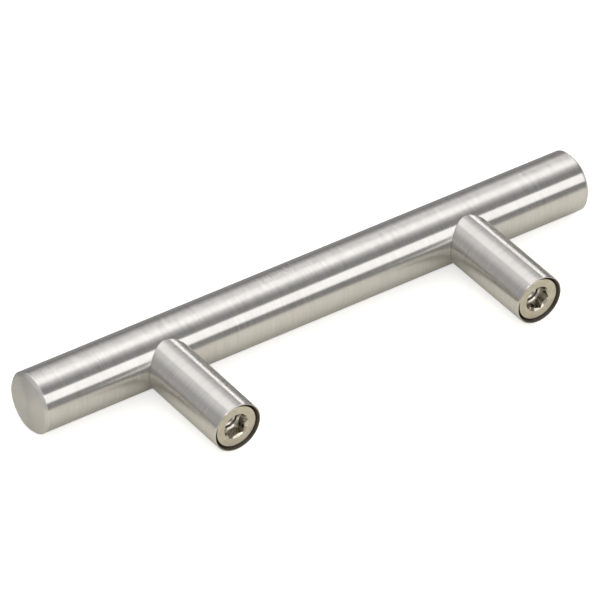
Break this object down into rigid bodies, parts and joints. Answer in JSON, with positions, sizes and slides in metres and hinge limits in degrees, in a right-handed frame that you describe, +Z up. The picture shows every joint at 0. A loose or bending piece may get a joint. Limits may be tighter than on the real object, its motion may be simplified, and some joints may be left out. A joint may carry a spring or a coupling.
{
  "type": "cabinet pull",
  "caption": "Straight round bar pull on sleeved posts, with threaded cores for screws from behind the panel.",
  "frame": {"origin": "midway between the two screw holes, in the plane of the posts' rims, which is the face of the panel", "axes": "+X along the bar, +Y from the bar towards the panel, along the screws, +Z up"},
  "size_m": [0.138, 0.0368, 0.0136],
  "materials": {
    "bar_steel": "satin, with a fine grain round the bar",
    "sleeve_steel": "satin, with a fine grain round the post",
    "core_plating": "turned and nickel plated"
  },
  "bodies": {
    "root": {"bar": "bar_steel", "left_post_sleeve": "sleeve_steel", "left_post_core": "core_plating", "right_post_sleeve": "sleeve_steel", "right_post_core": "core_plating"}
  },
  "joints": []
}
